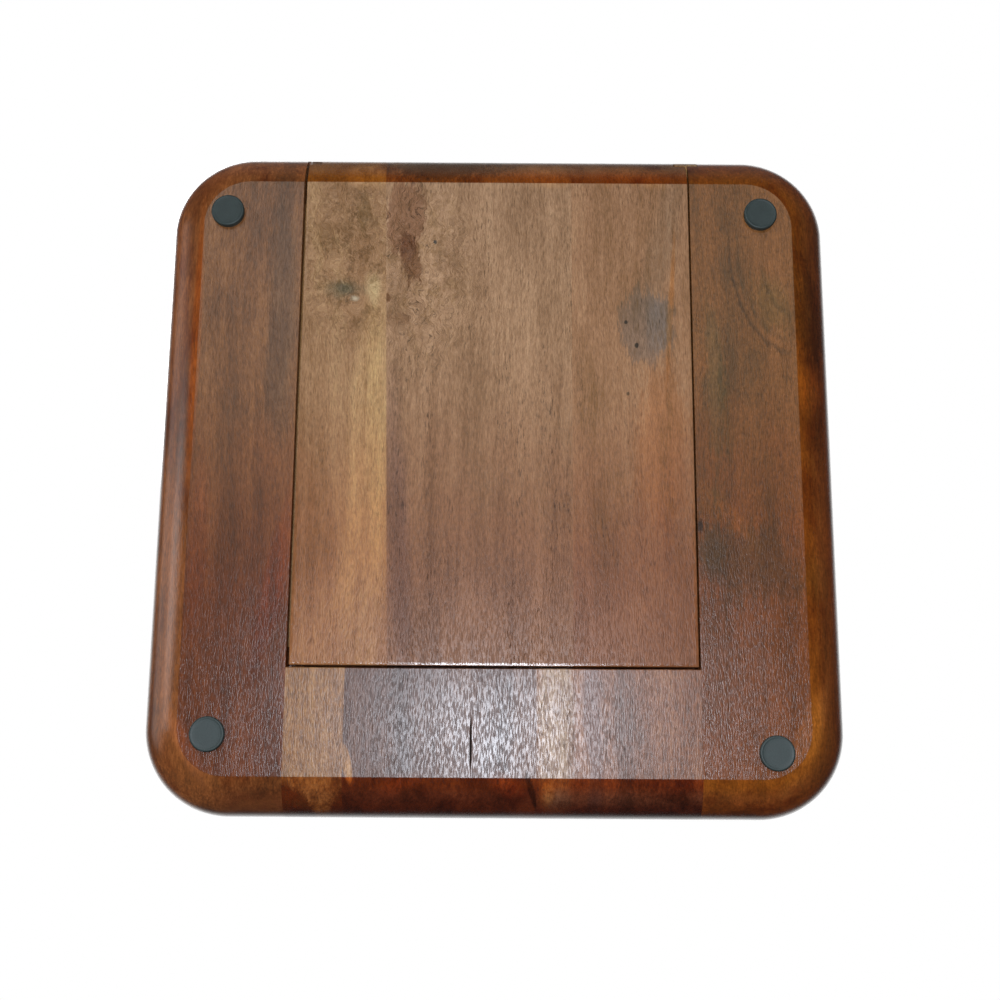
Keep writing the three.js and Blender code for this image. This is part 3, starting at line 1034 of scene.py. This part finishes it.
def back_right_wood():
    marks = [
        mark(26.2, 112, 7.5, 60, "#8c6a50", 0.9, soft=0.5, ragged=0.4),
        mark(22, 143, 3.5, 6.5, "#a86c3a", 0.7, turn=15, soft=0.8, ragged=0.6),
        mark(42, 112, 4, 60, "#64443a", 0.7, soft=0.9),
        mark(56, 112, 4, 60, "#684636", 0.6, soft=0.9),
    ]
    # Deeper stain on the back round-over, darkened further by painted shade.
    return wood("back_right_wood", 25.2, ["#623d26", "#7d5037", "#936446"], marks,
                ((0.75, 0.3, 0.1), (0.32, 0.11, 0.05)), streaks=0.7, pores=0.8, speckle=0.8,
                **GLOSSY)


def top_woods():
    tones = {
        "left": ["#5b3a1f", "#744a28", "#8a5d35"],
        "middle": ["#4c2c17", "#633c20", "#764a2a"],
        "right": ["#604020", "#7b5029", "#8f6436"],
    }
    edge = ((0.85, 0.6, 0.4), (0.8, 0.55, 0.4))
    return {
        side: wood("top_%s_wood" % side, 29.0 + i * 3.1, tones[side], (), edge)
        for i, side in enumerate(tones)
    }


def field_woods():
    pale = wood("pale_square_wood", 41.0, ["#b98d56", "#cba36b", "#d8b580"], streaks=0.4,
                pores=0.25, roughness=0.3)
    dark = wood("dark_square_wood", 44.0, ["#3c2213", "#50301c", "#643f26"], streaks=0.6,
                pores=0.35, roughness=0.3)
    return pale, dark


def runner_wood():
    return wood("runner_wood", 47.0, ["#8f6a3e", "#a57d4b", "#b58d5a"], streaks=0.5, pores=0.3,
                roughness=0.55)


def stringing_wood():
    return wood("stringing_wood", 51.0, ["#1c110a", "#2a1a10", "#382417"], streaks=0.5,
                pores=0.2, roughness=0.3)


def rubber():
    """Matt black-green rubber, a little dusty."""
    material, g = new_material("foot_rubber")
    x, y, z = object_place(g)
    dust = g.noise(g.vector(x * 0.25, y * 0.25, z * 0.25), 4.0, 0.6)
    skin = g.noise(g.vector(x * 2.2, y * 2.2, z * 2.2), 3.0, 0.6)
    tone = dust * 0.7 + skin * 0.4
    colour = g.ramp(tone, [linear("#1c2423"), linear("#2a3634"), linear("#3a4845")])
    gloss = 0.46 + dust * 0.2
    finish_material(g, colour, gloss, g.bump(skin, 0.02), Specular_IOR_Level=0.5)
    return material


# ------------------------------------------------------------------ put the pieces in


def put(obj, node, body, slot, *materials):
    """Puts a piece in the place of a CAD node, on a body, with its materials in its slots. The
    argument slot is not used.
    """
    for material in materials:
        obj.data.materials.append(material)
    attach(obj, body)
    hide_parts(node)


def build_body():
    left = make_rail("left_rail", (-FAR, SLOT_LEFT), "left_runner", SLOT_LEFT,
                     (SLOT_LEFT - LIP_OVERLAP, DRAWER_LEFT - LIP_CLEARANCE))
    right = make_rail("right_rail", (SLOT_RIGHT, FAR), "right_runner", SLOT_RIGHT)
    put(left, "left_rail", "board", "rail_wood", left_rail_wood())
    put(right, "right_rail", "board", "rail_wood", right_rail_wood())
    bare = runner_wood()
    for node in ("left_runner", "right_runner"):
        put(make_runner(node), node, "board", "runner_wood", bare)
    back = {"left": back_left_wood(), "middle": back_middle_wood(), "right": back_right_wood()}
    top = top_woods()
    for side in ("left", "middle", "right"):
        slot = "light_wood" if side == "left" else "back_wood"
        node = "back_stave_" + side
        put(make_back_stave(node), node, "board", slot, back[side])
        node = "top_stave_" + side
        put(make_top_stave(node), node, "board", "top_wood", top[side])


def build_field():
    pale, dark = field_woods()
    for i in range(RANKS):
        node = "field_rank_%d" % (i + 1)
        put(make_rank(node, i), node, "board", "field_wood", dark, pale)
    inlay = stringing_wood()
    for side in ("front", "back", "left", "right"):
        node = "stringing_" + side
        put(make_stringing(node), node, "board", "stringing_wood", inlay)


def build_drawer():
    woods = {
        "left": drawer_left_wood(), "middle": drawer_middle_wood(), "right": drawer_right_wood(),
    }
    for side, material in woods.items():
        slot = "light_wood" if side == "left" else "drawer_wood"
        node = "drawer_stave_" + side
        put(make_drawer_stave(side), node, "drawer", slot, material)


def build_feet():
    material = rubber()
    for place in ("front_left", "front_right", "back_left", "back_right"):
        node = "foot_" + place
        put(make_foot(node), node, "board", "foot_rubber", material)


# ------------------------------------------------------------------ floor, light and camera


# Half the floor's side. From FLOOR_FADE on, in metres, it fades into the white around it.
FLOOR_HALF = 40000
FLOOR_FADE = (0.5, 2.2)


def build_floor():
    """A plain pale floor under the feet, solid from above and clear from below.

    The main view looks at the underside from under the floor. Light that has come through it
    once keeps passing, so that the floor doesn't shade what is seen through it.
    """
    bm = bmesh.new()
    bmesh.ops.create_grid(bm, x_segments=8, y_segments=8, size=FLOOR_HALF)
    floor = new_object("floor", bm)
    material, g = new_material("floor_paint")
    place = g.add("ShaderNodeTexCoord")
    grain = g.noise(Wire(g, place.outputs["Object"]), 3.0)
    colour = g.ramp(grain, [(0.78, 0.78, 0.77), (0.84, 0.84, 0.83)])
    shader = g.add("ShaderNodeBsdfPrincipled")
    g.feed(shader.inputs["Base Color"], colour)
    shader.inputs["Roughness"].default_value = 0.7
    clear = g.add("ShaderNodeBsdfTransparent")
    side = g.add("ShaderNodeNewGeometry")
    path = g.add("ShaderNodeLightPath")
    crossed = Wire(g, path.outputs["Transparent Depth"])
    distance = g.add("ShaderNodeVectorMath", operation="LENGTH")
    g.tree.links.new(place.outputs["Object"], distance.inputs[0])
    far_away = g.step(Wire(g, distance.outputs["Value"]), *FLOOR_FADE)
    below = Wire(g, side.outputs["Backfacing"])
    passes = g.math("ADD", below + far_away, crossed, clamp=True)
    choose = g.add("ShaderNodeMixShader")
    g.feed(choose.inputs[0], passes)
    g.tree.links.new(shader.outputs[0], choose.inputs[1])
    g.tree.links.new(clear.outputs[0], choose.inputs[2])
    output = g.add("ShaderNodeOutputMaterial")
    g.tree.links.new(choose.outputs[0], output.inputs[0])
    floor.data.materials.append(material)


# The soft surroundings: towards each direction, a glow that is full within the first angle of
# it, in degrees, and gone beyond the second. The last number is its radiance.
GLOWS = [
    ((-0.19, -0.40, -0.9), 0, 15, 2.6),
    ((0.1, -0.42, -0.9), 0, 22, 1.0),
    ((-0.98, -0.12, -0.1), 8, 24, 1.6),
    ((-0.88, -0.15, -0.44), 2, 11, 4.6),
    ((0, -1, 0.1), 12, 36, 0.18),
    ((0, 0, 1), 35, 65, 1.7),
]
DIM = 0.1


def build_world():
    """White to the camera, and the glows to everything else."""
    world = bpy.data.worlds.new("studio")
    bpy.context.scene.world = world
    world.use_nodes = True
    g = Graph(world.node_tree)
    place = g.add("ShaderNodeTexCoord")
    radiance = DIM
    for direction, full, gone, strength in GLOWS:
        dot = g.add("ShaderNodeVectorMath", operation="DOT_PRODUCT")
        g.tree.links.new(place.outputs["Generated"], dot.inputs[0])
        dot.inputs[1].default_value = Vector(direction).normalized()
        limits = [math.cos(math.radians(a)) for a in (gone, full)]
        radiance = radiance + g.step(Wire(g, dot.outputs["Value"]), *limits) * strength
    paths = g.add("ShaderNodeLightPath")
    seen = Wire(g, paths.outputs["Is Camera Ray"])
    strength = seen + radiance * (1 - seen)
    background = g.add("ShaderNodeBackground")
    background.inputs["Color"].default_value = (1, 1, 1, 1)
    g.feed(background.inputs["Strength"], strength)
    output = g.add("ShaderNodeOutputWorld")
    g.tree.links.new(background.outputs[0], output.inputs[0])


def area_light(name, position, target, size, power, colour=(1, 1, 1)):
    """An elliptical lamp aimed at a point. Metres and watts."""
    data = bpy.data.lights.new(name, "AREA")
    data.color = colour
    data.shape = "ELLIPSE"
    data.size, data.size_y = size
    data.energy = power
    light = bpy.data.objects.new(name, data)
    bpy.context.scene.collection.objects.link(light)
    light.location = position
    aim = Vector(target) - Vector(position)
    light.rotation_euler = aim.to_track_quat("-Z", "Y").to_euler()
    light.visible_camera = False
    return light


# The camera that the photo was taken with, fitted to the board's outline. Metres.
CAMERA_PLACE = (0.0018, 0.1399, -0.5800)
CAMERA_TILT = math.radians(192.071)
CAMERA_ROLL = math.radians(0.374)
CAMERA_VIEW = math.radians(40.643)


def build_camera():
    data = bpy.data.cameras.new("camera")
    data.sensor_width = 36
    data.lens = 18 / math.tan(CAMERA_VIEW / 2)
    data.clip_start = 0.01
    camera = bpy.data.objects.new("camera", data)
    bpy.context.scene.collection.objects.link(camera)
    turn = Matrix.Rotation(CAMERA_TILT, 4, "X") @ Matrix.Rotation(CAMERA_ROLL, 4, "Z")
    camera.matrix_world = Matrix.Translation(CAMERA_PLACE) @ turn
    bpy.context.scene.camera = camera


def build_lights():
    """The lamp of the main view, which is under the floor, and one above for other views."""
    cool = (0.93, 0.99, 1.1)
    area_light("lamp_below", (0.0, 0.100, -0.585), (0, 0.05, 0), (0.15, 0.05), 2.6, cool)
    area_light("lamp_above", (-0.5, -0.5, 0.9), (0, 0, 0), (0.6, 0.6), 4.5)


build_body()
build_field()
build_drawer()
build_feet()
build_floor()
build_world()
build_lights()
build_camera()
bpy.context.scene.view_settings.view_transform = "Standard"
